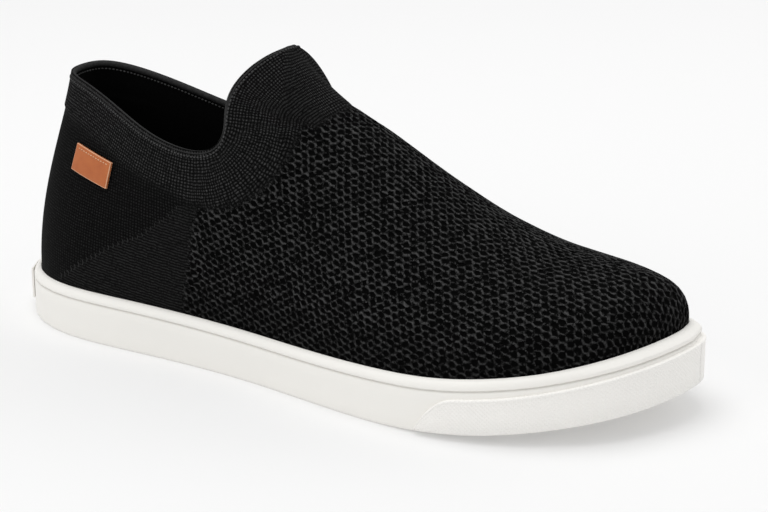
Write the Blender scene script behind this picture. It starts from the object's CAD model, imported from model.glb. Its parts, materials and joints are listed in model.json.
import json
import math

import bpy
import numpy as np
from mathutils import Matrix, Vector
from mathutils.bvhtree import BVHTree
from mathutils.geometry import barycentric_transform
from mathutils.kdtree import KDTree

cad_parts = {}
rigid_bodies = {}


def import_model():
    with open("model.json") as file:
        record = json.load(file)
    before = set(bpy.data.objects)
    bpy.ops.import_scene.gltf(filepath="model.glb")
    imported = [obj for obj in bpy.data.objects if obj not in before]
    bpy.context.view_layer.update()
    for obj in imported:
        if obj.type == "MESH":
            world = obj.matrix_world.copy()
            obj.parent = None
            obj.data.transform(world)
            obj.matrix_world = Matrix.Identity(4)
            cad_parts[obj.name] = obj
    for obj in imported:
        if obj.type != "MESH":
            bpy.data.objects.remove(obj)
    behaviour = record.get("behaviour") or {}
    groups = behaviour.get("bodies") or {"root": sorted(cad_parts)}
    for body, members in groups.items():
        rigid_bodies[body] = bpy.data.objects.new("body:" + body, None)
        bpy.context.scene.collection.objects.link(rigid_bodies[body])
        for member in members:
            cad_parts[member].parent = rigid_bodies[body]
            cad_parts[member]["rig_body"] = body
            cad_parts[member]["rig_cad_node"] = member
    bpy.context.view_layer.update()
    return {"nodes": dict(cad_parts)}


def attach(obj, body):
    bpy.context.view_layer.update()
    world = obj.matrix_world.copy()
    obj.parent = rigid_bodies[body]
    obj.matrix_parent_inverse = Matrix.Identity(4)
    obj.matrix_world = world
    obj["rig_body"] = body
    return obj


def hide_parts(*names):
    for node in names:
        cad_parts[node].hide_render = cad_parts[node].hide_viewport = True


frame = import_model()
bpy.ops.object.select_all(action="DESELECT")
mm = 0.001
print("frame loaded")

# edit-mode steps that most pieces need
weld = (bpy.ops.mesh.remove_doubles, {"threshold": 2e-6})
turnOutward = (bpy.ops.mesh.normals_make_consistent, {"inside": False})


# sRGB hex to linear
def linear(code):
    parts = [int(code[k:k + 2], 16) / 255 for k in (1, 3, 5)]
    return tuple(p / 12.92 if p <= 0.04045 else ((p + 0.055) / 1.055) ** 2.4 for p in parts) + (1.0,)


# adds one node with its settings; an input that is a socket is linked, any other is set
def addNode(tree, kind, inputs=None, **settings):
    made = tree.nodes.new("ShaderNode" + kind)
    for key, value in settings.items():
        setattr(made, key, value)
    for key, value in (inputs or {}).items():
        if isinstance(value, bpy.types.NodeSocket):
            tree.links.new(value, made.inputs[key])
        else:
            made.inputs[key].default_value = value
    return made


def newMaterial(name, values):
    material = bpy.data.materials.new(name)
    material.use_nodes = True
    tree = material.node_tree
    shader = tree.nodes["Principled BSDF"]
    for key, value in values.items():
        shader.inputs[key].default_value = value
    return material, tree, shader


# product of two waves from 0 to 1 along two coordinates in metres, each with its pitch
def dotGrid(tree, across, along, pitchAcross, pitchAlong):
    waves = []
    for place, pitch in ((across, pitchAcross), (along, pitchAlong)):
        turned = addNode(tree, "Math", {0: place, 1: 2 * math.pi / pitch}, operation="MULTIPLY")
        wave = addNode(tree, "Math", {0: turned.outputs[0]}, operation="COSINE")
        waves.append(addNode(tree, "Math", {0: wave.outputs[0], 1: 0.5, 2: 0.5},
                             operation="MULTIPLY_ADD").outputs[0])
    return addNode(tree, "Math", {0: waves[0], 1: waves[1]}, operation="MULTIPLY").outputs[0], waves[1]


# the usual end of a material: a colour between two tones, and a bump
def toneAndBump(tree, shader, factor, dark, light, strength, depth, height):
    tone = addNode(tree, "Mix", {0: factor, 6: linear(dark), 7: linear(light)}, data_type="RGBA")
    tree.links.new(tone.outputs[2], shader.inputs["Base Color"])
    bump = addNode(tree, "Bump", {"Strength": strength, "Distance": depth, "Height": height})
    tree.links.new(bump.outputs[0], shader.inputs["Normal"])


def named(item, name):
    item.name = name
    item.data.name = name
    return item


def newObject(name, data):
    item = bpy.data.objects.new(name, data)
    bpy.context.scene.collection.objects.link(item)
    return item


def pick(item):
    bpy.ops.object.select_all(action="DESELECT")
    item.select_set(True)
    bpy.context.view_layer.objects.active = item


def inEditMode(item, *steps):
    pick(item)
    bpy.ops.object.mode_set(mode="EDIT")
    bpy.ops.mesh.select_all(action="SELECT")
    for step, options in steps:
        step(**options)
    bpy.ops.object.mode_set(mode="OBJECT")


def applyModifier(item, kind, **settings):
    modifier = item.modifiers.new(kind.lower(), kind)
    for key, value in settings.items():
        setattr(modifier, key, value)
    pick(item)
    bpy.ops.object.modifier_apply(modifier=modifier.name)


def smoothShade(item, angle=40):
    pick(item)
    bpy.ops.object.shade_smooth_by_angle(angle=math.radians(angle))


def dress(item, *materials):
    item.data.materials.clear()
    for material in materials:
        item.data.materials.append(material)


def readValues(layer, kind, size):
    values = np.zeros(len(layer) * size, dtype=np.float32)
    layer.foreach_get(kind, values)
    return values.reshape(-1, size).astype(float)


def readVectors(item, kind):
    return readValues(item.data.vertices, kind, 3)


def placeVertices(item, points):
    item.data.vertices.foreach_set("co", np.asarray(points, dtype=np.float32).ravel())
    item.data.update()


# a grid primitive whose corners are then laid on points[row][column]
def gridPiece(name, points):
    rows, columns = points.shape[:2]
    bpy.ops.mesh.primitive_grid_add(x_subdivisions=columns - 1, y_subdivisions=rows - 1, size=1)
    item = named(bpy.context.object, name)
    placeVertices(item, points)
    return item


def readUv(item, name):
    return readValues(item.data.uv_layers[name].data, "uv", 2)


def setUv(item, name, pairs):
    layer = item.data.uv_layers.new(name=name)
    index = np.zeros(len(item.data.loops), dtype=np.int32)
    item.data.loops.foreach_get("vertex_index", index)
    layer.data.foreach_set("uv", np.asarray(pairs, dtype=np.float32)[index].ravel())


def setMask(item, name, values):
    layer = item.data.attributes.new(name, "FLOAT", "POINT")
    layer.data.foreach_set("value", np.asarray(values, dtype=np.float32).ravel())


def softStep(value):
    share = np.clip(value, 0.0, 1.0)
    return share * share * (3 - 2 * share)


def finished(item, *materials, replaces=None, slot="upper"):
    if materials:
        dress(item, *materials)
    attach(item, "root")
    if replaces:
        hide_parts(replaces)
    print(item.name, "made,", sum(len(face.vertices) - 2 for face in item.data.polygons), "triangles")


def repeated(item, count, offset, **settings):
    applyModifier(item, "ARRAY", count=count, use_relative_offset=False, use_constant_offset=True,
                  constant_offset_displace=offset, **settings)


# many copies of one small piece as one mesh; places holds position, along, outward and size
def scatterCopies(item, places):
    base = readVectors(item, "co")
    repeated(item, len(places), (10 * mm, 0, 0))
    laid = []
    for spot, along, outward, size in places:
        side = np.cross(outward, along)
        side /= np.linalg.norm(side)
        ahead = np.cross(side, outward)
        laid.append(spot + size * (base @ np.array((ahead, side, outward))))
    placeVertices(item, np.concatenate(laid))


shoe = {
    "length": 300 * mm, "ballWidth": 104 * mm, "heelHeight": 106 * mm, "instepHeight": 125.5 * mm,
    "sideHeight": 20 * mm, "toeSpring": 12.2 * mm, "springStart": 0.63, "wall": 2.2 * mm, "gap": 0.3 * mm,
    "ledge": 3.3 * mm, "toeLedge": 1.7 * mm, "toeLedgeStart": 0.86, "cupFloor": 8 * mm,
    "heelStep": 0.7 * mm, "heelStepEnd": 0.20, "stepShare": 0.7925,
    "shift": (-150.146 * mm, 2.489 * mm),
    "peakSection": 23, "lastSection": 44,
}
shiftX, shiftY = shoe["shift"]
length, ballWidth = shoe["length"], shoe["ballWidth"]
# share of length, then shares of the ball width
outlineRows = np.array((
    (0.015, 0.153, 0.172), (0.060, 0.294, 0.312), (0.140, 0.386, 0.372), (0.270, 0.404, 0.358),
    (0.420, 0.424, 0.340), (0.550, 0.482, 0.388), (0.680, 0.535, 0.462), (0.800, 0.512, 0.490),
    (0.900, 0.376, 0.425), (0.970, 0.170, 0.290)))
toeTipAcross = 0.150
sideRows = np.array(((0, 0.995), (0.20, 1.055), (0.50, 0.995), (0.70, 1.070), (0.85, 1.300), (1, 1.760)))
sectionRows = np.array(((0, 0), (13, 0.345), (23, 0.500), (35, 0.820), (44, 1)))
# foot, along, lateral, medial, height, lean, pull, tilt, pull
collarRows = np.array((
    (0.000, 0.0800, 0.000, 0.000, 1.000, -1, 0.39, 79, 0.27),
    (0.030, 0.0900, 0.110, 0.100, 0.996, 0, 0.39, 79, 0.27),
    (0.095, 0.1320, 0.180, 0.152, 0.976, 1, 0.38, 80, 0.28),
    (0.190, 0.1980, 0.250, 0.198, 0.925, 2, 0.36, 80, 0.30),
    (0.275, 0.2700, 0.308, 0.245, 0.858, 3, 0.34, 79, 0.30),
    (0.345, 0.3330, 0.328, 0.268, 0.825, 2, 0.32, 78, 0.30)))
throatRows = np.array((
    (0.385, 0.3740, 0.324, 0.275, 0.712, 1, 0.32, 77, 0.30),
    (0.412, 0.3920, 0.308, 0.260, 0.770, 0, 0.32, 74, 0.29),
    (0.440, 0.3930, 0.268, 0.225, 0.875, -1, 0.31, 68, 0.24),
    (0.465, 0.4050, 0.185, 0.150, 0.953, -3, 0.30, 56, 0.20),
    (0.485, 0.4180, 0.088, 0.075, 0.989, -3, 0.30, 36, 0.185),
    (0.500, 0.4260, 0.000, 0.000, 1.000, -2, 0.30, 0, 0.17)))
# foot, along, across, height, lean, pull, pull at the top
ridgeRows = np.array((
    (0.500, 0.426, 0.000, 1.000, -2, 0.30, 0.17), (0.530, 0.458, 0.000, 0.928, -2, 0.30, 0.19),
    (0.575, 0.503, 0.000, 0.850, -4, 0.30, 0.21), (0.645, 0.565, 0.002, 0.774, -6, 0.30, 0.225),
    (0.720, 0.646, 0.006, 0.662, -7, 0.30, 0.25), (0.790, 0.730, 0.012, 0.556, -4, 0.32, 0.29),
    (0.860, 0.803, 0.020, 0.490, 0, 0.36, 0.34), (0.930, 0.862, 0.030, 0.462, 3, 0.40, 0.40),
    (1.000, 0.915, 0.045, 0.449, 5, 0.44, 0.45)))


# a curve through rows that never swings past them
def through(at, values, where):
    slopes = np.diff(values) / np.diff(at)
    product = slopes[:-1] * slopes[1:]
    total = slopes[:-1] + slopes[1:]
    sameWay = product > 0
    inner = np.where(sameWay, 2 * product / np.where(sameWay, total, 1.0), 0.0)
    tangents = np.concatenate(([slopes[0]], inner, [slopes[-1]]))
    where = np.clip(np.asarray(where, dtype=float), at[0], at[-1])
    span = np.clip(np.searchsorted(at, where, side="right") - 1, 0, len(at) - 2)
    width = at[span + 1] - at[span]
    share = (where - at[span]) / width
    start = (1 + 2 * share) * (1 - share) ** 2 * values[span]
    end = share ** 2 * (3 - 2 * share) * values[span + 1]
    pull = share * (1 - share) ** 2 * tangents[span] - share ** 2 * (1 - share) * tangents[span + 1]
    return start + end + pull * width


# a smooth closed curve, read at places from 0 to the number of points
class ClosedCurve:
    def __init__(self, points):
        self.points = np.asarray(points, dtype=float)
        count = len(self.points)
        after = np.sqrt(np.linalg.norm(np.roll(self.points, -1, axis=0) - self.points, axis=1))
        before = np.roll(after, 1)
        matrix = np.zeros((count, count))
        turn = np.zeros_like(self.points)
        for k in range(count):
            ahead = (k + 1) % count
            matrix[k, k - 1] += before[k]
            matrix[k, k] += 2 * (before[k] + after[k])
            matrix[k, ahead] += after[k]
            turn[k] = 6 * ((self.points[ahead] - self.points[k]) / after[k]
                           - (self.points[k] - self.points[k - 1]) / before[k])
        self.bend = np.linalg.solve(matrix, turn)
        self.step = after

    def at(self, places):
        count = len(self.points)
        places = np.asarray(places, dtype=float) % count
        first = np.minimum(places.astype(int), count - 1)
        second = (first + 1) % count
        step = self.step[first][:, None]
        ahead = (places - first)[:, None]
        behind = 1 - ahead
        curved = (behind ** 3 - behind) * self.bend[first] + (ahead ** 3 - ahead) * self.bend[second]
        return behind * self.points[first] + ahead * self.points[second] + curved * step ** 2 / 6


def arcOf(line):
    return np.concatenate([[0.0], np.cumsum(np.linalg.norm(np.diff(line, axis=0), axis=1))])


def makeOutline():
    lateral, medial = (np.stack([outlineRows[:, 0] * length, across * ballWidth], axis=1)
                       for across in (-outlineRows[:, 1], outlineRows[:, 2]))
    toeTip = [[length, toeTipAcross * ballWidth]]
    loop = ClosedCurve(np.concatenate([[[0.0, 0.0]], lateral, toeTip, medial[::-1]]))
    dense = loop.at(np.linspace(0, len(loop.points), 6001)[:-1])
    dense = np.roll(dense, -int(dense[:, 0].argmin()), axis=0)
    turn = int(dense[:, 0].argmax())
    return dense[:turn + 1], np.concatenate([dense[turn:], dense[:1]])[::-1]


outline = makeOutline()
girth = [arcOf(side) for side in outline]


def girthShare(along):
    x = np.clip(np.asarray(along) * length, outline[0][0, 0], outline[0][-1, 0])
    return np.interp(x, outline[0][:, 0], girth[0]) / girth[0][-1]


sectionShares = girthShare(sectionRows[:, 1])


# share of the girth, and x, at a section number, which may lie between two sections
def sectionPlace(number):
    share = through(sectionRows[:, 0], sectionShares, number)
    return share, np.interp(share * girth[0][-1], girth[0], outline[0][:, 0])


# points of the outline at x, on a side (0 lateral, 1 medial), and their outward normals
def outlinePoint(side, x):
    line = outline[side]
    index = np.arange(len(line))
    place = np.interp(x, line[:, 0], index)
    low = np.maximum(0.0, place - 6)
    high = np.minimum(len(line) - 1.0, place + 6)
    here = np.stack([np.interp(place, index, line[:, k]) for k in (0, 1)], axis=1)
    run = np.stack([np.interp(high, index, line[:, k]) - np.interp(low, index, line[:, k])
                    for k in (0, 1)], axis=1)
    run /= np.linalg.norm(run, axis=1)[:, None]
    normal = np.stack([run[:, 1], -run[:, 0]], axis=1) * (1 if side == 0 else -1)
    normal[place <= 6] = (-1.0, 0.0)
    normal[place >= len(line) - 7] = (1.0, 0.0)
    return here, normal


def springAt(x):
    share = np.maximum(0.0, (x / length - shoe["springStart"]) / (1 - shoe["springStart"]))
    return shoe["toeSpring"] * share ** 2


def wallTop(x):
    return shoe["sideHeight"] * through(sideRows[:, 0], sideRows[:, 1], x / length)


def ledgeWidth(x):
    share = (x / length - shoe["toeLedgeStart"]) / (1 - shoe["toeLedgeStart"])
    return shoe["ledge"] + shoe["toeLedge"] * softStep(share)


rimRows = np.concatenate([collarRows, throatRows])
rimHeights = np.concatenate([collarRows[:, 4] * shoe["heelHeight"], throatRows[:, 4] * shoe["instepHeight"]])
rimFoot = girthShare(rimRows[:, 0])
ridgeFoot = girthShare(ridgeRows[:, 0])
peakShare = float(sectionPlace(shoe["peakSection"])[0])
rimFoot[-1] = peakShare
ridgeFoot[0] = peakShare
rimLateral, rimMedial = (np.stack([rimRows[:, 1] * length, across * ballWidth, rimHeights], axis=1)
                         for across in (-rimRows[:, 2], rimRows[:, 3]))
rimLoop = ClosedCurve(np.concatenate([rimLateral, rimMedial[1:-1][::-1]]))


def ridgeHeight(x):
    return shoe["instepHeight"] * through(ridgeRows[:, 1], ridgeRows[:, 3], x / length)


# ribs of the upper at section numbers, read at shares of their height: points[share][section]
def ribPoints(side, numbers, shares):
    numbers = np.asarray(numbers, dtype=float)
    share, x = sectionPlace(numbers)
    here, normal = outlinePoint(side, x)
    edge = here - normal * (ledgeWidth(x) + shoe["gap"])[:, None]
    outward = np.concatenate([normal, np.zeros((len(x), 1))], axis=1)
    upward = np.array([0.0, 0.0, 1.0])
    foot = np.concatenate([edge, wallTop(x)[:, None]], axis=1)
    low = np.concatenate([edge, (springAt(x) + shoe["cupFloor"] + shoe["gap"])[:, None]], axis=1)
    before = numbers < shoe["peakSection"]
    place = through(rimFoot, np.arange(len(rimRows), dtype=float), share)
    place = np.where((side == 1) & (place > 0), len(rimLoop.points) - place, place)
    rimEnd = rimLoop.at(place)
    ridgeX = length * through(ridgeFoot, ridgeRows[:, 1], share)
    ridgeY = ballWidth * through(ridgeRows[:, 1], ridgeRows[:, 2], ridgeX / length)
    ridgeEnd = np.stack([ridgeX, ridgeY, ridgeHeight(ridgeX)], axis=1)
    end = np.where(before[:, None], rimEnd, ridgeEnd)
    fall = (ridgeHeight(ridgeX + mm) - ridgeHeight(ridgeX - mm)) / (2 * mm)
    fall = np.where(before, 0.0, fall)

    def blend(rimColumn, ridgeColumn):
        rimValue = through(rimFoot, rimRows[:, rimColumn], share)
        return np.where(before, rimValue, through(ridgeFoot, ridgeRows[:, ridgeColumn], share))

    lean, pull, reach = blend(5, 4), blend(6, 5), blend(8, 6)
    tilt = np.where(before, through(rimFoot, rimRows[:, 7], share), 0.0)
    chord = np.linalg.norm(end - foot, axis=1)[:, None]
    lean = np.radians(lean)[:, None]
    leave = np.sin(lean) * outward + np.cos(lean) * upward
    level = foot - end
    level[:, 2] = 0.0
    level /= np.linalg.norm(level, axis=1)[:, None]
    level[:, 2] = fall * level[:, 0]
    level /= np.linalg.norm(level, axis=1)[:, None]
    tilt = np.radians(tilt)[:, None]
    arrive = np.cos(tilt) * level - np.sin(tilt) * upward
    first = foot + leave * pull[:, None] * chord
    second = end + arrive * reach[:, None] * chord
    step = shoe["heelStep"] * (1 - softStep(x / length / shoe["heelStepEnd"])) * before
    rows = []
    for t in shares:
        if t < 0:
            rows.append(foot + (low - foot) * -t)
            continue
        rest = 1 - t
        spot = rest ** 3 * foot + 3 * rest ** 2 * t * first + 3 * rest * t ** 2 * second + t ** 3 * end
        rows.append(spot + outward * (step * softStep((t - shoe["stepShare"]) / 0.012 + 0.5))[:, None])
    points = np.array(rows)
    points[..., 0] += shiftX
    points[..., 1] += shiftY
    return points


print("form of the shoe worked out")


# Moulded off-white rubber: matt, slightly soft gloss on the rounded ledge, faint cloudiness
# a groove holds some shade, and knurl is the pitch of the bumper's raised diamonds
def rubberMaterial(name, code, knurl=0.0):
    material, tree, shader = newMaterial(name, {"Roughness": 0.55, "IOR": 1.5, "Specular IOR Level": 0.3,
                                                "Coat Weight": 0.04, "Coat Roughness": 0.4})
    place = addNode(tree, "TexCoord").outputs["Object"]
    cloud = addNode(tree, "TexNoise", {"Scale": 45.0, "Detail": 3.0, "Vector": place})
    base = linear(code)
    dull = tuple(0.97 * part for part in base[:3]) + (1.0,)
    tone = addNode(tree, "Mix", {0: cloud.outputs["Fac"], 6: dull, 7: base}, data_type="RGBA")
    groove = addNode(tree, "Attribute", attribute_name="groove").outputs["Fac"]
    shaded = addNode(tree, "Mix", {0: groove, 6: tone.outputs[2], 7: linear("#e2e0db")},
                     data_type="RGBA")
    tree.links.new(shaded.outputs[2], shader.inputs["Base Color"])
    grain = addNode(tree, "TexNoise", {"Scale": 2600.0, "Detail": 2.0, "Vector": place})
    bump = addNode(tree, "Bump", {"Strength": 0.12, "Distance": 0.05 * mm,
                                            "Height": grain.outputs["Fac"]})
    if knurl:
        uv = addNode(tree, "UVMap", uv_map="strip").outputs[0]
        parts = addNode(tree, "SeparateXYZ", {0: uv})
        slants = [addNode(tree, "Math", {0: parts.outputs[0], 1: parts.outputs[1]},
                          operation=operation).outputs[0] for operation in ("ADD", "SUBTRACT")]
        raised = dotGrid(tree, slants[0], slants[1], knurl, knurl)[0]
        bump = addNode(tree, "Bump", {"Strength": 0.55, "Distance": 0.26 * mm, "Height": raised,
                                                "Normal": bump.outputs[0]})
    tree.links.new(bump.outputs[0], shader.inputs["Normal"])
    return material


# pitches of the collar's ribs and of the quarter's dots and rows; rowFall: slope of the rows
# drift: how far the pattern strays; rowShare and dotShare: strength beside the collar's dots
knit = {"ribPitch": 1.25 * mm, "dotPitch": 1.5 * mm, "rowPitch": 1.2 * mm, "drift": 1.0 * mm,
        "rowFall": 0.10, "rowShare": 0.32, "dotShare": 0.30}


# Black polyester knit: dull yarn, a dotted rib at the collar, fine rows low on the quarter
def fineKnitMaterial():
    material, tree, shader = newMaterial("blackFineKnit", {
        "Roughness": 0.85, "IOR": 1.45, "Specular IOR Level": 0.02, "Sheen Weight": 0.04,
        "Sheen Roughness": 0.5, "Sheen Tint": linear("#9a9a9a")})
    place = addNode(tree, "TexCoord").outputs["Object"]
    drift = addNode(tree, "TexNoise", {"Scale": 330.0, "Detail": 2.0, "Vector": place})
    parts = []
    for name in ("rim", "side"):
        uv = addNode(tree, "UVMap", uv_map=name).outputs[0]
        moved = addNode(tree, "VectorMath", {0: drift.outputs["Color"], 1: (knit["drift"],) * 3, 2: uv},
                        operation="MULTIPLY_ADD")
        parts.append(addNode(tree, "SeparateXYZ", {0: moved.outputs[0]}))
    rimParts, sideParts = parts
    band, lower, spread = (addNode(tree, "Attribute", attribute_name=name).outputs["Fac"]
                           for name in ("band", "lower", "spread"))
    ribDots, closeDots = (dotGrid(tree, rimParts.outputs[0], rimParts.outputs[1], pitch, knit["ribPitch"])[0]
                          for pitch in (knit["ribPitch"], knit["ribPitch"] / 2))
    collarDots = addNode(tree, "Mix", {0: spread, 2: ribDots, 3: closeDots}).outputs[0]
    fallen = addNode(tree, "Math", {0: sideParts.outputs[0], 1: knit["rowFall"],
                                              2: sideParts.outputs[1]}, operation="MULTIPLY_ADD").outputs[0]
    quarterKnits = dotGrid(tree, sideParts.outputs[0], fallen, knit["dotPitch"], knit["rowPitch"])
    softDots, softRows = (addNode(tree, "Math", {0: raised, 1: share}, operation="MULTIPLY").outputs[0]
                          for raised, share in zip(quarterKnits, (knit["dotShare"], knit["rowShare"])))
    quarter = addNode(tree, "Mix", {0: lower, 2: softDots, 3: softRows}).outputs[0]
    relief = addNode(tree, "Mix", {0: band, 2: quarter, 3: collarDots}).outputs[0]
    fuzz = addNode(tree, "TexNoise", {"Scale": 1300.0, "Detail": 3.0, "Vector": place})
    shine = addNode(tree, "Math", {0: fuzz.outputs["Fac"], 1: 3.2, 2: -0.95},
                    operation="MULTIPLY_ADD", use_clamp=True).outputs[0]
    light = addNode(tree, "Math", {0: relief, 1: shine}, operation="MULTIPLY").outputs[0]
    height = addNode(tree, "Math", {0: fuzz.outputs["Fac"], 1: 0.35, 2: relief},
                     operation="MULTIPLY_ADD")
    toneAndBump(tree, shader, light, "#070707", "#484848", 0.8, 0.35 * mm, height.outputs[0])
    return material


# Open mesh of the vamp: round yarns that catch the light, black in the holes
def meshKnitMaterial():
    material, tree, shader = newMaterial("blackMeshKnit", {
        "Roughness": 0.75, "IOR": 1.45, "Specular IOR Level": 0.03, "Sheen Weight": 0.05,
        "Sheen Roughness": 0.4, "Sheen Tint": linear("#9a9a9a")})
    yarn = addNode(tree, "Attribute", attribute_name="yarn").outputs["Fac"]
    place = addNode(tree, "TexCoord").outputs["Object"]
    fibre = addNode(tree, "TexNoise", {"Scale": 1500.0, "Detail": 2.0, "Vector": place})
    crown = addNode(tree, "Math", {0: yarn, 1: 3.6}, operation="POWER").outputs[0]
    stroke = addNode(tree, "TexNoise", {"Scale": 620.0, "Detail": 1.0, "Vector": place})
    both = addNode(tree, "Math", {0: fibre.outputs["Fac"], 1: stroke.outputs["Fac"]}, operation="ADD")
    mottle = addNode(tree, "Math", {0: both.outputs[0], 1: 3.6, 2: -3.0},
                     operation="MULTIPLY_ADD", use_clamp=True).outputs[0]
    light = addNode(tree, "Math", {0: crown, 1: mottle}, operation="MULTIPLY").outputs[0]
    toneAndBump(tree, shader, light, "#040404", "#494949", 0.7, 0.2 * mm, fibre.outputs["Fac"])
    return material


# Plain yarn or cloth: a nap of fine noise between two tones
def clothMaterial(name, dark, light):
    material, tree, shader = newMaterial(name, {
        "Roughness": 0.9, "Specular IOR Level": 0.03, "Sheen Weight": 0.01, "Sheen Roughness": 0.5})
    place = addNode(tree, "TexCoord").outputs["Object"]
    nap = addNode(tree, "TexNoise", {"Scale": 1100.0, "Detail": 3.0, "Vector": place})
    toneAndBump(tree, shader, nap.outputs["Fac"], dark, light, 0.5, 0.2 * mm, nap.outputs["Fac"])
    return material


# Vegetable-tanned leather: tan, with a fine pebble; the cut edge is paler
def leatherMaterial(name, dark, light):
    material, tree, shader = newMaterial(name, {"Roughness": 0.5, "IOR": 1.48, "Specular IOR Level": 0.3})
    place = addNode(tree, "TexCoord").outputs["Object"]
    pebble = addNode(tree, "TexVoronoi", {"Scale": 1500.0, "Vector": place})
    cloud = addNode(tree, "TexNoise", {"Scale": 220.0, "Detail": 4.0, "Vector": place})
    toneAndBump(tree, shader, cloud.outputs["Fac"], dark, light, 0.25, 0.1 * mm, pebble.outputs["Distance"])
    return material


whiteRubber = rubberMaterial("whiteRubber", "#f5f3ee")
treadRubber = rubberMaterial("treadRubber", "#e9e6e1")
knurledRubber = rubberMaterial("knurledRubber", "#faf8f4", knurl=1.6 * mm)
fineKnit = fineKnitMaterial()
meshKnit = meshKnitMaterial()
rolledKnit = clothMaterial("blackRolledKnit", "#141414", "#404040")
blackYarn = clothMaterial("blackYarn", "#181818", "#3c3c3c")
paleYarn = clothMaterial("blackSewingThread", "#242424", "#585858")
liningCloth = clothMaterial("blackLiningCloth", "#060606", "#121212")
tanLeather = leatherMaterial("tanLeather", "#a4562d", "#be6e3c")
paleLeatherEdge = leatherMaterial("paleLeatherEdge", "#cf9673", "#e0b08e")
tanThread = clothMaterial("tanThread", "#c08a66", "#e6c3a5")
print("materials made")


# band: section and depth of the collar band; meshEdge: height and x where the mesh begins; all in mm
# diagonal: x and height of the seam that climbs the quarter; spread: where ribs count as too far apart
shell = {"perSection": 4, "rows": 56, "sunk": 0.6 * mm, "edgeRound": 0.7 * mm, "fade": 5.0 * mm,
         "band": ((0, 17.0), (12, 17.5), (15, 23.0), (19, 31.0), (21, 35.0), (23, 34.0)),
         "meshEdge": ((22, 98.5), (49, 103.0), (62, 105.0), (71, 109.0)),
         "diagonal": ((33, 22), (47.6, 32), (64, 42), (79, 49), (95, 61), (98.7, 65)),
         "seamFade": 2.0 * mm, "bandMiddle": 9.0 * mm, "flatStart": 12, "flatRows": 28, "flatRounds": 60,
         "rimSpots": 1601, "crossFrom": 19, "spreadFrom": 1.25, "spreadFade": 0.5, "spreadDepth": 40 * mm}
footRow = 2


def upperSurface(numbers, shares):
    lateral = ribPoints(0, numbers, shares)
    medial = ribPoints(1, numbers, shares)
    return np.concatenate([lateral, medial[:, ::-1][:, 1:]], axis=1)


# shares of a rib's height: two rows down to the insole, then the foot and up to the end
def shareRows(count):
    return np.concatenate([[-1.0, -0.5], np.linspace(0, 1, count + 1)])


# the front of the upper laid flat, as it was knitted: flat[row][column] in metres from the peak
def layFlat():
    count = (shoe["lastSection"] - shell["flatStart"]) * shell["perSection"] + 1
    numbers = np.linspace(shell["flatStart"], shoe["lastSection"], count)
    shares = shareRows(shell["flatRows"])
    points = upperSurface(numbers, shares)
    rows, columns = points.shape[:2]
    sheet = gridPiece("flatPattern", points)
    setUv(sheet, "place", np.stack(np.meshgrid(np.arange(columns), np.arange(rows)), axis=2).reshape(-1, 2))
    sheet.data.uv_layers.active = sheet.data.uv_layers.new(name="flat")
    inEditMode(sheet, weld, (bpy.ops.uv.unwrap, {"method": "MINIMUM_STRETCH", "margin": 0.0,
                                                 "iterations": shell["flatRounds"]}))
    corner = np.rint(readUv(sheet, "place")).astype(int)
    flat = np.full((rows, columns, 2), np.nan)
    flat[corner[:, 1], corner[:, 0]] = readUv(sheet, "flat")
    bpy.data.objects.remove(sheet)
    half = columns // 2
    peak = int((shoe["peakSection"] - shell["flatStart"]) * shell["perSection"])
    flat -= flat[-1, peak].copy()
    turn = -math.atan2(flat[-1, half, 1], flat[-1, half, 0])
    flat = flat @ np.array(((math.cos(turn), math.sin(turn)), (-math.sin(turn), math.cos(turn))))
    real = np.linalg.norm(np.diff(points, axis=0), axis=2).sum()
    flat *= real / np.linalg.norm(np.diff(flat, axis=0), axis=2).sum()
    if flat[footRow, 0, 1] > 0:
        flat[..., 1] *= -1
    print("upper laid flat, gaps", int(np.isnan(flat).sum()))
    return flat, numbers, shares


# values[row][column] read at finer sections and shares
def finer(values, oldNumbers, oldShares, numbers, shares):
    parts = []
    for k in range(values.shape[2]):
        across = np.array([np.interp(numbers, oldNumbers, row) for row in values[..., k]])
        parts.append(np.array([np.interp(shares, oldShares, column) for column in across.T]).T)
    return np.stack(parts, axis=2)


flat, flatNumbers, flatShares = layFlat()
perSide = np.linspace(0, shoe["lastSection"], shoe["lastSection"] * shell["perSection"] + 1)
shares = shareRows(shell["rows"])
points = upperSurface(perSide, shares)
numbers = np.concatenate([perSide, perSide[::-1][1:]])
columns = len(numbers)
half = len(perSide) - 1
front = shell["flatStart"] * shell["perSection"]
flatHalf = len(flatNumbers)
pattern = np.zeros((len(shares), columns, 2))
pattern[:, front:half + 1] = finer(flat[:, :flatHalf], flatNumbers, flatShares, perSide[front:], shares)
pattern[:, half + 1:columns - front] = finer(flat[:, flatHalf - 1:][:, ::-1], flatNumbers, flatShares,
                                             perSide[front:], shares)[:, ::-1][:, 1:]

# the rim of each side from the heel to the peak; its arc is counted from the peak
rimDense = np.linspace(0, shoe["peakSection"], shell["rimSpots"])
rimSides = [ribPoints(side, rimDense, [1.0])[0] for side in (0, 1)]


# arc along the middle of the band, so that its ribs neither crowd nor spread
def bandArc(side):
    strip = ribPoints(side, rimDense, np.linspace(1.0, 0.5, 26))
    steps = np.linalg.norm(np.diff(strip, axis=0), axis=2)
    down = np.concatenate([np.zeros((1, len(rimDense))), np.cumsum(steps, axis=0)])
    middle = np.array([[np.interp(shell["bandMiddle"], down[:, c], strip[:, c, k]) for k in range(3)]
                       for c in range(len(rimDense))])
    return arcOf(middle)


rimArcs = [bandArc(side) for side in (0, 1)]
rimWhole = rimArcs[0][-1] + rimArcs[1][-1]
evenly = round(rimWhole / knit["ribPitch"]) * knit["ribPitch"] / rimWhole
rimArcs = [(rimArcs[0] - rimArcs[0][-1]) * evenly, (rimArcs[1][-1] - rimArcs[1]) * evenly]


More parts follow.
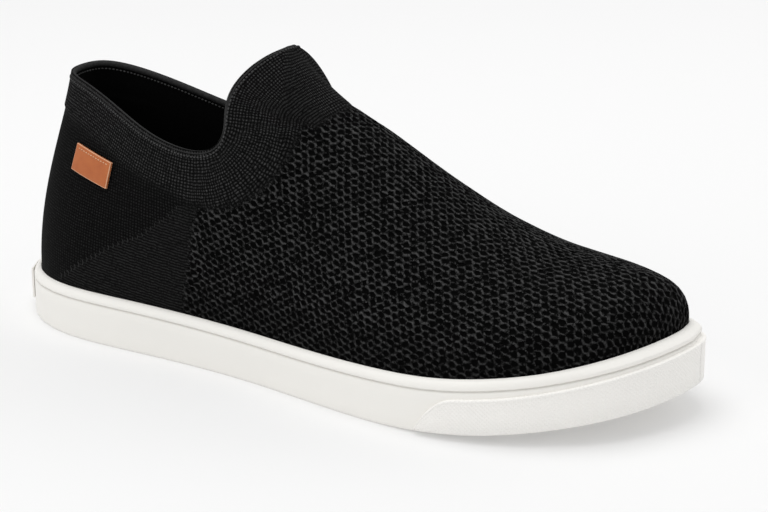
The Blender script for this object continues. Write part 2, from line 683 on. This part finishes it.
def treeOf(spots):
    tree = KDTree(len(spots))
    for k, spot in enumerate(spots):
        tree.insert(spot, k)
    tree.balance()
    return tree


# each point's nearest place on the rim: arc, distance and section
rimUv = np.zeros((len(shares), columns, 2))
nearSection = np.zeros((len(shares), columns))
for side in (0, 1):
    beyond = rimDense >= shell["crossFrom"]
    spots = np.concatenate([rimSides[side], rimSides[1 - side][beyond]])
    arcs = np.concatenate([rimArcs[side], rimArcs[1 - side][beyond]])
    sections = np.concatenate([rimDense, rimDense[beyond]])
    tree = treeOf(spots)
    for column in range(columns):
        if (column > half) == bool(side):
            for row in range(len(shares)):
                spot, index, gap = tree.find(points[row, column])
                rimUv[row, column] = arcs[index], gap
                nearSection[row, column] = sections[index]
bandRows = np.array(shell["band"], dtype=float)
bandDepth = np.interp(nearSection, bandRows[:, 0], bandRows[:, 1]) * mm
edgeRows = np.array(shell["meshEdge"], dtype=float)
heelX = points[..., 0] - shiftX
meshStart = np.interp(points[..., 2] / mm, edgeRows[:, 0], edgeRows[:, 1]) * mm
pastBand = softStep((rimUv[..., 1] - bandDepth) / shell["fade"] + 0.5)
meshArea = pastBand * softStep((heelX - meshStart) / shell["fade"] + 0.5)
footArc = arcOf(points[footRow])
footArc *= round(footArc[-1] / knit["dotPitch"]) * knit["dotPitch"] / footArc[-1]
sideUv = np.stack([np.broadcast_to(footArc, heelX.shape), points[..., 2]], axis=2)
diagonalRows = np.array(shell["diagonal"], dtype=float)
diagonal = np.interp(heelX / mm, diagonalRows[:, 0], diagonalRows[:, 1]) * mm

# where the collar's ribs spread too far apart, twice as many are drawn
widths = np.linalg.norm(np.diff(points, axis=1), axis=2)
ratio = widths / (np.abs(np.diff(rimUv[..., 0], axis=1)) + 0.01 * mm)
ratio = np.concatenate([ratio, ratio[:, -1:]], axis=1)
spread = softStep((ratio - shell["spreadFrom"]) / shell["spreadFade"])
spread *= rimUv[..., 1] < shell["spreadDepth"]

upper = gridPiece("upperKnit", points)
setUv(upper, "rim", rimUv.reshape(-1, 2))
setUv(upper, "side", sideUv.reshape(-1, 2))
for name, values in (("spread", spread), ("band", 1 - pastBand), ("meshArea", meshArea),
                     ("lower", softStep((diagonal - points[..., 2]) / shell["seamFade"] + 0.5))):
    setMask(upper, name, values)
inEditMode(upper, weld, turnOutward)
skin = readVectors(upper, "co")
skinNormals = readVectors(upper, "normal")
nearest = treeOf(skin)
normals = np.array([skinNormals[nearest.find(spot)[1]] for spot in points.reshape(-1, 3)])
normals = normals.reshape(points.shape)

# the knit lies lower where the mesh is laid over it
cover = readValues(upper.data.attributes["meshArea"].data, "value", 1)
placeVertices(upper, skin - skinNormals * cover * shell["sunk"])
dress(upper, fineKnit, liningCloth)
applyModifier(upper, "SOLIDIFY", thickness=shoe["wall"] - shell["sunk"], offset=-1.0, use_even_offset=True,
              material_offset=1)
applyModifier(upper, "BEVEL", width=shell["edgeRound"], segments=3, limit_method="ANGLE",
              angle_limit=math.radians(60))
smoothShade(upper, 60)
finished(upper, replaces="upper")

# one cell is a ring of yarn round a hole: rows of waving yarn, with low links between them
# rings: share of the cell and height over the wall in mm; link: height of a link's middle
# edgeTone: tone where the net begins; overSole: mm over the sole and share of the yarn's tone
net = {"across": 3.7 * mm, "down": 2.35 * mm, "columns": 66, "rows": 100, "startAcross": -28 * mm,
       "rings": ((1.0, 0.05), (0.76, -0.10), (0.50, -0.50)), "hole": -0.54, "link": -0.20,
       "seed": 7, "waver": 0.24 * mm, "sink": 0.72 * mm,
       "edgeTone": 0.45, "overSole": ((3, 0.88), (18, 1.0)), "reach": 0.05 * mm, "least": 0.02,
       "corners": ((0, 2 / 3), (0.5, 1 / 3), (0.5, 0), (0.5, -1 / 3), (0, -2 / 3), (-0.5, -1 / 3),
                   (-0.5, 0), (-0.5, 1 / 3), (0, 2 / 3))}


# reads a place of the flat pattern as position, normal and share of mesh on the shoe
def makeLay():
    flatCorners = [Vector((a, b, 0.0)) for a, b in pattern.reshape(-1, 2)]
    solid = points.reshape(-1, 3)
    turned = normals.reshape(-1, 3)
    area = meshArea.reshape(-1)
    triangles = []
    for row in range(len(shares) - 1):
        for column in range(front, columns - front - 1):
            a = row * columns + column
            triangles += [(a, a + 1, a + columns + 1), (a, a + columns + 1, a + columns)]
    tree = BVHTree.FromPolygons(flatCorners, triangles)

    def lay(s, t):
        here = Vector((s, t, 0.0))
        spot, direction, index, gap = tree.find_nearest(here)
        if spot is None or gap > net["reach"]:
            return None
        corners = triangles[index]
        about = [flatCorners[k] for k in corners]
        place = barycentric_transform(spot, *about, *(Vector(solid[k]) for k in corners))
        normal = barycentric_transform(spot, *about, *(Vector(turned[k]) for k in corners))
        share = barycentric_transform(spot, *about, *(Vector((area[k], 0, 0)) for k in corners))
        return place, normal.normalized(), share.x

    return lay


def makeNet():
    a, b = net["across"], net["down"]
    rings = net["rings"] + ((0.0, net["hole"]),)
    cell = np.array([[(x * a * share, y * b * share,
                       mm * (max(height + net["link"] * share, net["hole"]) if y == 0 and share else height))
                      for x, y in net["corners"]] for share, height in rings])
    item = gridPiece("vampMesh", cell)
    inEditMode(item, weld)
    repeated(item, 2, (a / 2, b, 0), use_merge_vertices=True, merge_threshold=2e-6)
    repeated(item, net["columns"], (a, 0, 0))
    repeated(item, net["rows"] // 2, (0, 2 * b, 0))
    inEditMode(item, (bpy.ops.mesh.remove_doubles, {"threshold": 5e-6}))
    spots = readVectors(item, "co")
    spots[:, 0] += net["startAcross"]
    spots[:, 1] -= (net["rows"] // 2) * b
    heights = spots[:, 2].copy()
    lay = makeLay()
    low, high = net["hole"] * mm, net["rings"][0][1] * mm
    shake = np.random.default_rng(net["seed"]).normal(size=(len(spots), 2)) * net["waver"]
    placed = np.zeros_like(spots)
    kept = np.zeros(len(spots), dtype=bool)
    shown = np.zeros(len(spots))
    for k, (s, t, height) in enumerate(spots):
        found = lay(s + shake[k, 0], t + shake[k, 1])
        if found is None or found[2] < net["least"]:
            continue
        place, normal, share = found
        placed[k] = place + normal * (height - (1 - share) * net["sink"])
        kept[k] = True
        shown[k] = share
    placeVertices(item, placed)
    fromHeel = placed[:, 0] - shiftX
    soleRows = np.array(net["overSole"])
    shade = np.interp((placed[:, 2] - wallTop(fromHeel)) / mm, soleRows[:, 0], soleRows[:, 1])
    shade = shade * (net["edgeTone"] + (1 - net["edgeTone"]) * shown)
    setMask(item, "yarn", (heights - low) / (high - low) * shade)
    item.data.polygons.foreach_set("select", np.zeros(len(item.data.polygons), dtype=bool))
    item.data.edges.foreach_set("select", np.zeros(len(item.data.edges), dtype=bool))
    item.data.vertices.foreach_set("select", ~kept)
    pick(item)
    bpy.ops.object.mode_set(mode="EDIT")
    bpy.ops.mesh.select_mode(type="VERT")
    bpy.ops.mesh.delete(type="VERT")
    bpy.ops.object.mode_set(mode="OBJECT")
    inEditMode(item, turnOutward)
    smoothShade(item, 80)
    finished(item, meshKnit)


makeNet()

# rolled edge of the collar, with a row of small stitches below it outside and inside
# sink: share of the radius; outer and inner: how far down the wall and how far into it a row lies
roll = {"radius": 1.15 * mm, "sides": 5, "sink": 0.9, "stitchPitch": 1.6 * mm,
        "stitchSize": (0.56 * mm, 0.36 * mm, 0.32 * mm),
        "outer": (2.5 * mm, -0.05 * mm), "inner": (2.9 * mm, shoe["wall"] + 0.02 * mm)}
rimColumns = [column for column in range(columns - 1) if numbers[column] <= shoe["peakSection"]]
rimNormals = normals[-1, rimColumns]


def tubeLoop(name, spots, radius, sides):
    data = bpy.data.curves.new(name, "CURVE")
    data.dimensions = "3D"
    data.bevel_depth = radius
    data.bevel_resolution = sides
    line = data.splines.new("POLY")
    line.points.add(len(spots) - 1)
    line.points.foreach_set("co", np.concatenate([spots, np.ones((len(spots), 1))], axis=1).ravel())
    line.use_cyclic_u = True
    item = newObject(name, data)
    pick(item)
    bpy.ops.object.convert(target="MESH")
    inEditMode(named(item, name), turnOutward)
    smoothShade(item, 60)
    return item


def aroundRim(down, inward):
    top, below = points[-1, rimColumns], points[-2, rimColumns]
    fall = (below - top) / np.linalg.norm(below - top, axis=1)[:, None]
    return top + fall * down - rimNormals * inward


rolled = tubeLoop("collarRoll", aroundRim(roll["radius"] * roll["sink"], shoe["wall"] / 2), roll["radius"],
                  roll["sides"])
finished(rolled, rolledKnit)


# places along a line, a pitch apart; turn leans each piece out of the line
def evenPlaces(line, normal, pitch, closed=False, turn=0.0):
    if closed:
        line = np.concatenate([line, line[:1]])
        normal = np.concatenate([normal, normal[:1]])
    arc = arcOf(line)
    count = int(round(arc[-1] / pitch))
    stops = (np.arange(count) + 0.5) * arc[-1] / count
    found = []
    for stop in stops:
        spot, ahead, outward = (np.array([np.interp(at, arc, values[:, k]) for k in range(3)])
                                for at, values in ((stop, line), (stop + 0.3 * mm, line), (stop, normal)))
        along = ahead - spot
        outward /= np.linalg.norm(outward)
        along /= np.linalg.norm(along)
        side = np.cross(outward, along)
        found.append((spot, along * math.cos(turn) + side * math.sin(turn), outward, 1.0))
    return found


# one stitch: a long bead with half sizes along, across and out
def bead(name, size, bend=0.0):
    bpy.ops.mesh.primitive_uv_sphere_add(segments=8, ring_count=6, radius=1)
    item = named(bpy.context.object, name)
    spots = readVectors(item, "co")[:, [2, 0, 1]] * np.array(size)
    spots[:, 1] += bend * spots[:, 0] ** 2 / size[0]
    placeVertices(item, spots)
    inEditMode(item, turnOutward)
    smoothShade(item, 80)
    return item


stitches = bead("rimStitches", roll["stitchSize"])
scatterCopies(stitches, evenPlaces(aroundRim(*roll["outer"]), rimNormals, roll["stitchPitch"], True)
              + evenPlaces(aroundRim(*roll["inner"]), -rimNormals, roll["stitchPitch"], True))
finished(stitches, paleYarn)

# fashioning marks: short hooked stitches along the seam that climbs the quarter, on both sides
# along: mm from the heel; shrink: size at the low and at the high end
marks = {"along": np.linspace(34, 98.7, 40), "pitch": 2.8 * mm, "size": (1.15 * mm, 0.26 * mm, 0.16 * mm),
         "bend": 0.55, "turn": 1.15, "raise": 0.05 * mm, "shrink": (1.2, 0.75)}


# the seam's line on one side, with its normals, from the four nearest points of the wall
def diagonalLine(side):
    heights = np.interp(marks["along"], diagonalRows[:, 0], diagonalRows[:, 1])
    spots = np.stack([marks["along"], heights], axis=1) * mm
    inSide = np.arange(columns) <= half if side == 0 else np.arange(columns) >= half
    grid = points[footRow:, inSide].reshape(-1, 3)
    gridNormals = normals[footRow:, inSide].reshape(-1, 3)
    flatTree = treeOf([(x - shiftX, z, 0.0) for x, y, z in grid])
    line, outward = [], []
    for x, z in spots:
        near = flatTree.find_n((x, z, 0.0), 4)
        weights = np.array([1 / (gap + 1e-6) for spot, index, gap in near])
        weights /= weights.sum()
        picked = [index for spot, index, gap in near]
        line.append(weights @ grid[picked])
        outward.append(weights @ gridNormals[picked])
    return np.array(line), np.array(outward)


hookPlaces = []
for side in (0, 1):
    line, outward = diagonalLine(side)
    outward /= np.linalg.norm(outward, axis=1)[:, None]
    laid = evenPlaces(line + outward * marks["raise"], outward, marks["pitch"],
                      turn=marks["turn"] * (1 if side == 0 else -1))
    sizes = np.linspace(*marks["shrink"], len(laid))
    hookPlaces += [place[:3] + (size,) for place, size in zip(laid, sizes)]
hooks = bead("fashioningMarks", marks["size"], bend=marks["bend"])
scatterCopies(hooks, hookPlaces)
finished(hooks, blackYarn)


# a merged copy of a solid, its triangles joined to quads again, for a finer surface
def reworkedCopy(node, name):
    source = frame["nodes"][node]
    item = source.copy()
    item.data = source.data.copy()
    named(item, name)
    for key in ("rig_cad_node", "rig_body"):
        if key in item:
            del item[key]
    item.parent = None
    bpy.context.scene.collection.objects.link(item)
    inEditMode(item, weld, (bpy.ops.mesh.tris_convert_to_quads, {
        "face_threshold": math.radians(30), "shape_threshold": math.radians(60)}))
    return item


# the cup keeps its edges through the subdivision; the groove under the ledge holds a little shade
cupSet = {"crease": 0.9, "sharp": 38, "grooveDrop": 4.1 * mm, "grooveHalf": 0.55 * mm, "grooveFade": 1.15,
          "wallReach": 2.0 * mm}
cup = reworkedCopy("cupsole", "cupRubber")
pick(cup)
bpy.ops.object.mode_set(mode="EDIT")
bpy.ops.mesh.select_all(action="DESELECT")
bpy.ops.mesh.edges_select_sharp(sharpness=math.radians(cupSet["sharp"]))
bpy.ops.transform.edge_crease(value=cupSet["crease"])
bpy.ops.object.mode_set(mode="OBJECT")
applyModifier(cup, "SUBSURF", levels=2, render_levels=2)
cupSpots = readVectors(cup, "co")
cupX = cupSpots[:, 0] - shiftX
fromGroove = np.abs(cupSpots[:, 2] - wallTop(cupX) + cupSet["grooveDrop"]) / cupSet["grooveHalf"]
outlineTree = treeOf([(x, y, 0.0) for line in outline for x, y in line])
fromWall = np.array([outlineTree.find((x - shiftX, y - shiftY, 0.0))[2]
                     for x, y, z in cupSpots])
setMask(cup, "groove", (fromWall < cupSet["wallReach"]) * softStep(cupSet["grooveFade"] - fromGroove))
smoothShade(cup, 40)
finished(cup, whiteRubber, replaces="cupsole", slot="cupsole")

# the toe bumper: start and full height as shares of the length; foot and tip: heights over the tread
# drop: height under the ledge; profile: mm out of the wall, share of the height and mm more, lip on top
bumper = {"start": 0.727, "full": 0.823, "foot": 1.0 * mm, "tip": 1.2 * mm, "drop": (6.7 * mm, 5.5 * mm),
          "roundEnd": 0.55, "roundPower": 2.2, "steps": 110, "closer": 1.3,
          "profile": ((0.3, 0, 0), (1.0, 0, 0), (1.4, 0, 0.4), (1.4, 0.5, -0.4), (1.4, 1, -1.5),
                      (1.4, 1, -1.15), (1.54, 1, -0.95), (1.62, 1, -0.65), (1.57, 1, -0.3),
                      (1.4, 1, -0.05), (0.9, 1, 0), (-1.0, 1, -0.05), (0.3, 0, 0))}


# the upper edge climbs in a round S and then follows the ledge
def bumperTop(x):
    full = wallTop(x) - np.interp(x / length, (bumper["full"], 1.0), bumper["drop"])
    share = np.clip((x / length - bumper["start"]) / (bumper["full"] - bumper["start"]), 0, 1)
    least = springAt(x) + bumper["foot"] + bumper["tip"]
    rise = 1 - (1 - np.clip(share / bumper["roundEnd"], 0, 1)) ** bumper["roundPower"]
    return least + (full - least) * rise


around = []
for side in (0, 1):
    arcs = girth[side]
    startArc = np.interp(bumper["start"] * length, outline[side][:, 0], arcs)
    stops = startArc + (arcs[-1] - startArc) * np.linspace(0, 1, bumper["steps"]) ** bumper["closer"]
    x = np.interp(stops, arcs, outline[side][:, 0])
    here, normal = outlinePoint(side, x)
    travelled = stops if side == 0 else 2 * arcs[-1] - stops
    rows = np.column_stack([x, here, normal, travelled])
    around.append(rows if side == 0 else rows[::-1][1:])
around = np.concatenate(around)
stripX, here, normal, travelled = around[:, 0], around[:, 1:3], around[:, 3:5], around[:, 5]
low, high = springAt(stripX) + bumper["foot"], bumperTop(stripX)
stripRows, stripUv = [], []
for out, share, extra in bumper["profile"]:
    spot = here + normal * out * mm
    height = np.clip(low + (high - low) * share + extra * mm, low, high)
    stripRows.append(np.stack([spot[:, 0] + shiftX, spot[:, 1] + shiftY, height], axis=1))
    stripUv.append(np.stack([travelled, height - low], axis=1))
strip = gridPiece("toeBumperStrip", np.array(stripRows))
setUv(strip, "strip", np.array(stripUv).reshape(-1, 2))
inEditMode(strip, weld, (bpy.ops.mesh.fill_holes, {"sides": 0}), turnOutward)
smoothShade(strip, 50)
finished(strip, knurledRubber, replaces="toe_bumper", slot="toe_bumper")

# the insole's cloth reaches the wall: the points of its side move out, not those of its flat faces
insoleSet = {"outward": 1.1 * mm, "sideFrom": 0.3}
insole = reworkedCopy("insole", "insoleCloth")
aside = readVectors(insole, "normal") * (1, 1, 0)
lengths = np.linalg.norm(aside, axis=1)[:, None]
aside = np.where(lengths > insoleSet["sideFrom"], aside / np.maximum(lengths, insoleSet["sideFrom"]), 0)
placeVertices(insole, readVectors(insole, "co") + aside * insoleSet["outward"])
smoothShade(insole, 50)
finished(insole, liningCloth, replaces="insole", slot="insole")

# the tab: its cut edge is pale, a row of stitches runs under its upper edge
# corners: x and z of the lower two and the upper two; stitchIn and endIn: shares of height and length
tab = {"edge": 0.32 * mm, "corners": ((-111.8, 69.4), (-89.7, 65.4), (-109.9, 80.2), (-87.9, 76.3)),
       "spots": 12, "stitchPitch": 1.7 * mm, "stitchIn": 0.14, "endIn": 0.07,
       "stitchSize": (0.52 * mm, 0.24 * mm, 0.18 * mm), "raise": 0.04 * mm}
leather = reworkedCopy("side_tab", "leatherTab")
dress(leather, tanLeather, paleLeatherEdge)
applyModifier(leather, "BEVEL", width=tab["edge"], segments=3, limit_method="ANGLE",
              angle_limit=math.radians(50), material=1)
smoothShade(leather, 50)
finished(leather, replaces="side_tab", slot="side_tab")
tabTree = BVHTree.FromPolygons([tuple(spot) for spot in readVectors(leather, "co")],
                               [tuple(face.vertices) for face in leather.data.polygons])
lowLeft, lowRight, highLeft, highRight = np.array(tab["corners"]) * mm
tabLine, tabOut = [], []
for share in np.linspace(tab["endIn"], 1 - tab["endIn"], tab["spots"]):
    low, high = lowLeft + (lowRight - lowLeft) * share, highLeft + (highRight - highLeft) * share
    x, z = high + (low - high) * tab["stitchIn"]
    spot, outward, index, gap = tabTree.ray_cast(Vector((x, -60 * mm, z)), Vector((0, 1, 0)))
    tabLine.append(np.array(spot) + np.array(outward) * tab["raise"])
    tabOut.append(np.array(outward))
tabStitches = bead("tabStitches", tab["stitchSize"])
scatterCopies(tabStitches, evenPlaces(np.array(tabLine), np.array(tabOut), tab["stitchPitch"]))
finished(tabStitches, tanThread, slot="side_tab")

for node, material in (("outsole", treadRubber), ("heel_patch", whiteRubber)):
    dress(frame["nodes"][node], material)
print("rubber and leather dressed")

# lights: place, aim, size and power of soft boxes
stageSet = {"floorSize": 8, "floorCode": "#d4d4d4", "floorGlow": 0.24, "world": 0.68, "lights": {
    "softboxAbove": ((-0.2, -0.1, 1.6), (0, 0, 0.05), (1.6, 1.2), 11.5),
    "softboxFront": ((-0.7, -1.5, 0.9), (0, 0, 0.05), (1.0, 1.0), 3.0),
    "softboxBack": ((0.6, 1.2, 1.0), (0.05, 0, 0.06), (1.2, 0.8), 3.0)}}
bpy.ops.mesh.primitive_plane_add(size=stageSet["floorSize"])
floor = named(bpy.context.object, "floor")
dress(floor, newMaterial("whitePaperFloor", {
    "Base Color": linear(stageSet["floorCode"]), "Roughness": 0.9, "Specular IOR Level": 0.05,
    "Emission Color": (1, 1, 1, 1), "Emission Strength": stageSet["floorGlow"]})[0])
for name, (spot, aim, size, power) in stageSet["lights"].items():
    light = bpy.data.lights.new(name, "AREA")
    light.shape = "RECTANGLE"
    light.size, light.size_y = size
    light.energy = power
    lamp = newObject(name, light)
    lamp.location = spot
    lamp.rotation_euler = (Vector(aim) - Vector(spot)).to_track_quat("-Z", "Y").to_euler()
world = bpy.data.worlds.new("whiteRoom")
bpy.context.scene.world = world
world.use_nodes = True
background = world.node_tree.nodes["Background"]
background.inputs["Color"].default_value = (1, 1, 1, 1)
background.inputs["Strength"].default_value = stageSet["world"]
bpy.context.scene.view_settings.view_transform = "Standard"

# camera at the photograph's place: angles in degrees, lengths in mm, focal length in pixels
view = {"azimuth": 31.0, "elevation": 18.42, "roll": -0.127, "distance": 849.3, "focal": 2116.7,
        "pixels": 768, "sensor": 36, "middle": (-0.146, 2.489, 45.0), "right": 18.07, "up": -2.99}


def addCamera():
    az, el, roll = (math.radians(view[key]) for key in ("azimuth", "elevation", "roll"))
    back = Vector((math.sin(az) * math.cos(el), -math.cos(az) * math.cos(el), math.sin(el)))
    right = Vector((math.cos(az), math.sin(az), 0))
    up = back.cross(right)
    target = Vector(view["middle"]) + right * view["right"] + up * view["up"]
    turnedRight = right * math.cos(roll) + up * math.sin(roll)
    turnedUp = up * math.cos(roll) - right * math.sin(roll)
    data = bpy.data.cameras.new("camera")
    data.sensor_width = view["sensor"]
    data.lens = view["focal"] / view["pixels"] * view["sensor"]
    data.clip_start, data.clip_end = 0.01, 50
    camera = newObject("camera", data)
    turn = Matrix((turnedRight, turnedUp, back)).transposed()
    camera.matrix_world = Matrix.Translation((target + back * view["distance"]) * mm) @ turn.to_4x4()
    bpy.context.scene.camera = camera


addCamera()
print("stage set")
